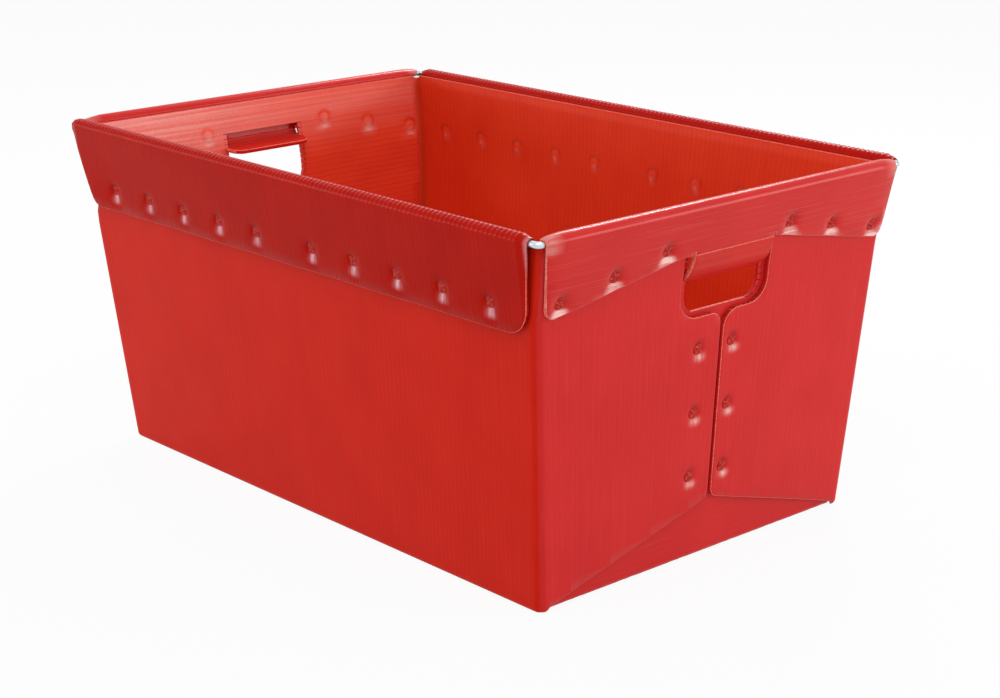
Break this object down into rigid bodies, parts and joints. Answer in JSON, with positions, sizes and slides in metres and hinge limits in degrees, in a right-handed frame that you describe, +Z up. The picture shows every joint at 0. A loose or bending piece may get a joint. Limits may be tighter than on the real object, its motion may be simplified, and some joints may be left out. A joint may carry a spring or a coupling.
{
  "type": "nestable tote",
  "caption": "Open nestable mail tote folded from red twin-wall plastic sheet, with hems over a steel rim wire, spot welds and a hand hole with a folding grip tongue in each end.",
  "frame": {"origin": "centre of the underside, on the surface the tote stands on", "axes": "+X along the tote towards its right end, +Y across it towards the back side, +Z up"},
  "size_m": [0.5928, 0.3882, 0.2864],
  "materials": {
    "sheet_plastic": "extruded twin-wall polypropylene, satin, fine flute lines",
    "hem_plastic": "the same sheet folded over, satin, fine flute lines",
    "weld_plastic": "remelted polypropylene, uneven gloss",
    "rim_steel": "bright drawn wire"
  },
  "bodies": {
    "tote": {"base_panel": "sheet_plastic", "rim_wire": "rim_steel", "front_wall_panel": "sheet_plastic", "back_wall_panel": "sheet_plastic", "right_end_panel": "sheet_plastic", "left_end_panel": "sheet_plastic", "front_right_corner_flap": "sheet_plastic", "back_right_corner_flap": "sheet_plastic", "front_left_corner_flap": "sheet_plastic", "back_left_corner_flap": "sheet_plastic", "front_rim_hem": "hem_plastic", "back_rim_hem": "hem_plastic", "right_rim_hem": "hem_plastic", "left_rim_hem": "hem_plastic", "front_hem_weld_1": "weld_plastic", "front_hem_weld_2": "weld_plastic", "front_hem_weld_3": "weld_plastic", "front_hem_weld_4": "weld_plastic", "front_hem_weld_5": "weld_plastic", "front_hem_weld_6": "weld_plastic", "front_hem_weld_7": "weld_plastic", "front_hem_weld_8": "weld_plastic", "front_hem_weld_9": "weld_plastic", "front_hem_weld_10": "weld_plastic", "back_hem_weld_1": "weld_plastic", "back_hem_weld_2": "weld_plastic", "back_hem_weld_3": "weld_plastic", "back_hem_weld_4": "weld_plastic", "back_hem_weld_5": "weld_plastic", "back_hem_weld_6": "weld_plastic", "back_hem_weld_7": "weld_plastic", "back_hem_weld_8": "weld_plastic", "back_hem_weld_9": "weld_plastic", "back_hem_weld_10": "weld_plastic", "right_hem_weld_1": "weld_plastic", "right_hem_weld_2": "weld_plastic", "right_hem_weld_3": "weld_plastic", "right_hem_weld_4": "weld_plastic", "right_hem_weld_5": "weld_plastic", "right_hem_weld_6": "weld_plastic", "left_hem_weld_1": "weld_plastic", "left_hem_weld_2": "weld_plastic", "left_hem_weld_3": "weld_plastic", "left_hem_weld_4": "weld_plastic", "left_hem_weld_5": "weld_plastic", "left_hem_weld_6": "weld_plastic", "right_slit_weld_a1": "weld_plastic", "right_slit_weld_a2": "weld_plastic", "right_slit_weld_a3": "weld_plastic", "right_slit_weld_b1": "weld_plastic", "right_slit_weld_b2": "weld_plastic", "right_slit_weld_b3": "weld_plastic", "left_slit_weld_a1": "weld_plastic", "left_slit_weld_a2": "weld_plastic", "left_slit_weld_a3": "weld_plastic", "left_slit_weld_b1": "weld_plastic", "left_slit_weld_b2": "weld_plastic", "left_slit_weld_b3": "weld_plastic"},
    "right_tongue": {"right_grip_tongue": "hem_plastic"},
    "left_tongue": {"left_grip_tongue": "hem_plastic"}
  },
  "joints": [
    {"name": "right_tongue_hinge", "type": "hinge", "parent": "tote", "child": "right_tongue", "pos_m": [0.28629, 0.0054, 0.247], "axis": [0, 1, 0], "range_deg": [-23, 95]},
    {"name": "left_tongue_hinge", "type": "hinge", "parent": "tote", "child": "left_tongue", "pos_m": [-0.28629, -0.0054, 0.247], "axis": [0, -1, 0], "range_deg": [-63, 55]}
  ]
}
